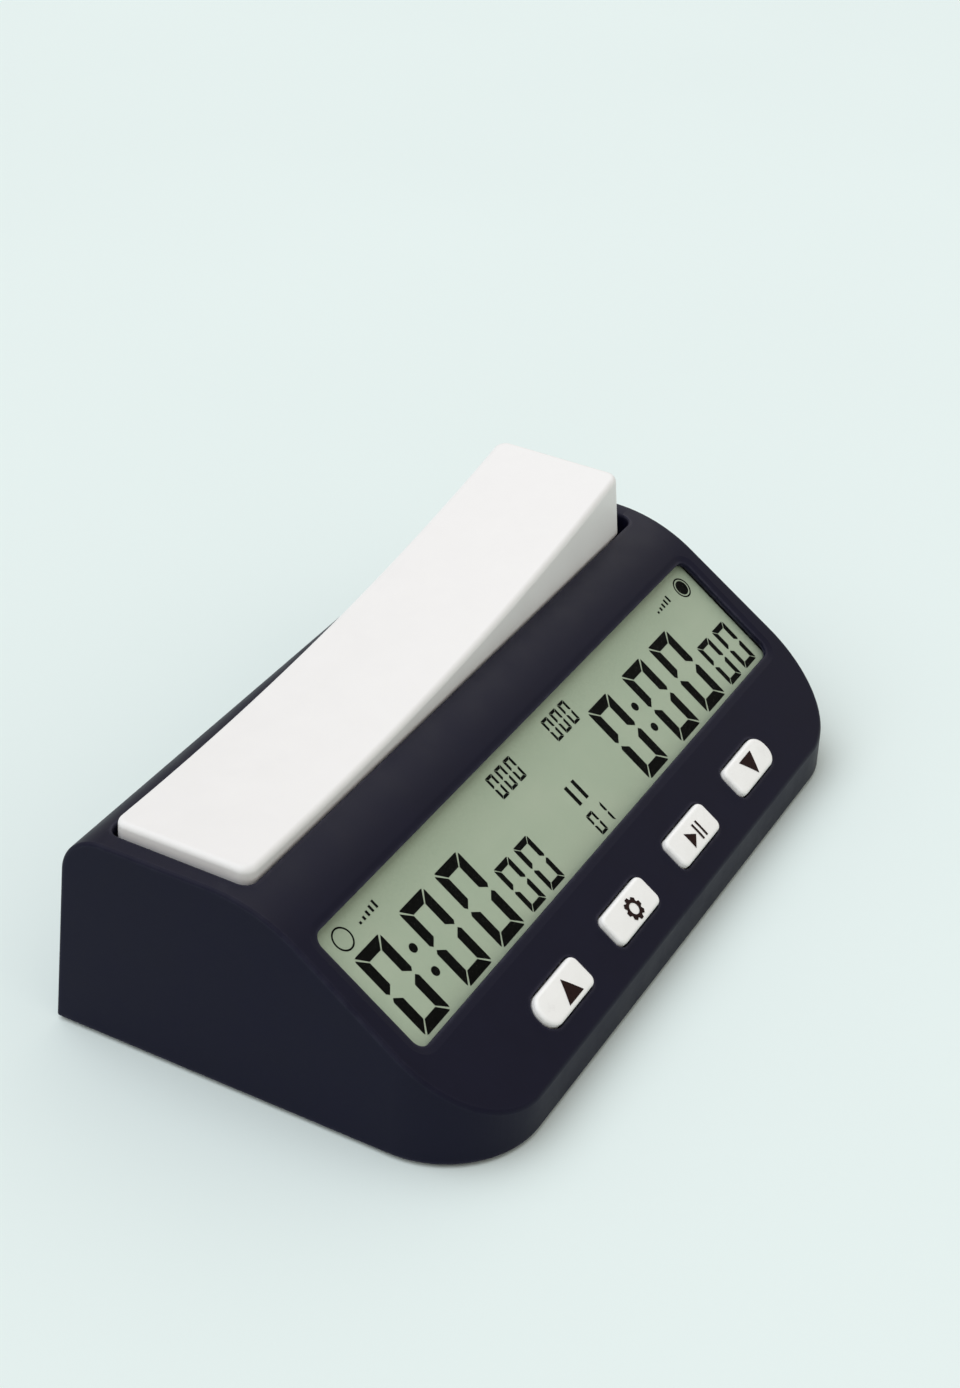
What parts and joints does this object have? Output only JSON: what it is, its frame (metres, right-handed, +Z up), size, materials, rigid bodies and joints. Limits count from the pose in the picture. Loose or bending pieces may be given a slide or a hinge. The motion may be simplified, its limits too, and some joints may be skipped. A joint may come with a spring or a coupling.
{
  "type": "chess clock",
  "caption": "Digital chess clock: wedge case with wide display, push buttons, and a long rocker on top that two players press in turn.",
  "frame": {"origin": "on the table, under the middle of the case", "axes": "+X along the case to the right-hand player's end, +Y to the back, +Z up; the display and buttons face -Y"},
  "size_m": [0.155, 0.085, 0.0531],
  "materials": {
    "case_plastic": "fine matte moulded",
    "white_plastic": "smooth satin",
    "black_plastic": "matte",
    "ivory_plastic": "matte",
    "window": "clear, polished",
    "lcd": "grey-green reflective display",
    "zebra_rubber": "matte",
    "circuit_board": "solder mask",
    "silicone": "matte",
    "black_rubber": "matte",
    "steel": "plated",
    "tinned_metal": "tin plated",
    "capacitor_sleeve": "smooth",
    "battery_jacket": "smooth plain jacket",
    "red_insulation": "smooth",
    "black_insulation": "smooth"
  },
  "bodies": {
    "case": {"upper_case": "case_plastic", "lower_case": "case_plastic", "display_window": "window", "lcd_glass": "lcd", "lcd_frame": "black_plastic", "lower_zebra_strip": "zebra_rubber", "upper_zebra_strip": "zebra_rubber", "main_board": "circuit_board", "keypad_mat": "silicone", "controller_chip": "black_plastic", "crystal": "steel", "capacitor": "capacitor_sleeve", "buzzer": "black_plastic", "board_screw_1": "steel", "board_screw_2": "steel", "board_screw_3": "steel", "board_screw_4": "steel", "pivot_pin": "steel", "left_switch_body": "black_plastic", "right_switch_body": "black_plastic", "left_stop_pad": "black_rubber", "right_stop_pad": "black_rubber", "front_battery": "battery_jacket", "rear_battery": "battery_jacket", "front_battery_spring": "tinned_metal", "rear_battery_spring": "tinned_metal", "negative_contact": "tinned_metal", "positive_contact": "tinned_metal", "bridge_contact": "tinned_metal", "positive_lead": "red_insulation", "negative_lead": "black_insulation", "power_switch_body": "steel", "case_screw_1": "steel", "case_screw_2": "steel", "case_screw_3": "steel", "case_screw_4": "steel", "foot_1": "black_rubber", "foot_2": "black_rubber", "foot_3": "black_rubber", "foot_4": "black_rubber"},
    "rocker": {"rocker": "white_plastic"},
    "left_plunger": {"left_switch_plunger": "ivory_plastic"},
    "right_plunger": {"right_switch_plunger": "ivory_plastic"},
    "up_button": {"up_button": "white_plastic"},
    "settings_button": {"settings_button": "white_plastic"},
    "play_pause_button": {"play_pause_button": "white_plastic"},
    "down_button": {"down_button": "white_plastic"},
    "battery_door": {"battery_door": "case_plastic"},
    "power_knob": {"power_switch_knob": "black_plastic"}
  },
  "joints": [
    {"name": "rocker_pivot", "type": "hinge", "parent": "case", "child": "rocker", "pos_m": [0, 0.0204, 0.011], "axis": [0, 1, 0], "range_deg": [0, 9.7]},
    {"name": "left_switch_travel", "type": "slide", "parent": "case", "child": "left_plunger", "axis": [0, 0, 1], "range_m": [0, 0.00273]},
    {"name": "right_switch_travel", "type": "slide", "parent": "case", "child": "right_plunger", "axis": [0, 0, -1], "range_m": [0, 0.00273]},
    {"name": "up_press", "type": "slide", "parent": "case", "child": "up_button", "axis": [0, 0.575, -0.8181], "range_m": [0, 0.0008], "stiffness_N_per_m": 400, "springref_m": -0.001},
    {"name": "settings_press", "type": "slide", "parent": "case", "child": "settings_button", "axis": [0, 0.575, -0.8181], "range_m": [0, 0.0008], "stiffness_N_per_m": 400, "springref_m": -0.001},
    {"name": "play_pause_press", "type": "slide", "parent": "case", "child": "play_pause_button", "axis": [0, 0.575, -0.8181], "range_m": [0, 0.0008], "stiffness_N_per_m": 400, "springref_m": -0.001},
    {"name": "down_press", "type": "slide", "parent": "case", "child": "down_button", "axis": [0, 0.575, -0.8181], "range_m": [0, 0.0008], "stiffness_N_per_m": 400, "springref_m": -0.001},
    {"name": "battery_door_slide", "type": "slide", "parent": "case", "child": "battery_door", "axis": [0, -1, 0], "range_m": [0, 0.006]},
    {"name": "power_slide", "type": "slide", "parent": "case", "child": "power_knob", "axis": [1, 0, 0], "range_m": [0, 0.003]}
  ],
  "couplings": [
    {"joint": "left_switch_travel", "follows": "rocker_pivot", "m_per_rad": 0.01604},
    {"joint": "right_switch_travel", "follows": "rocker_pivot", "m_per_rad": 0.01604}
  ]
}
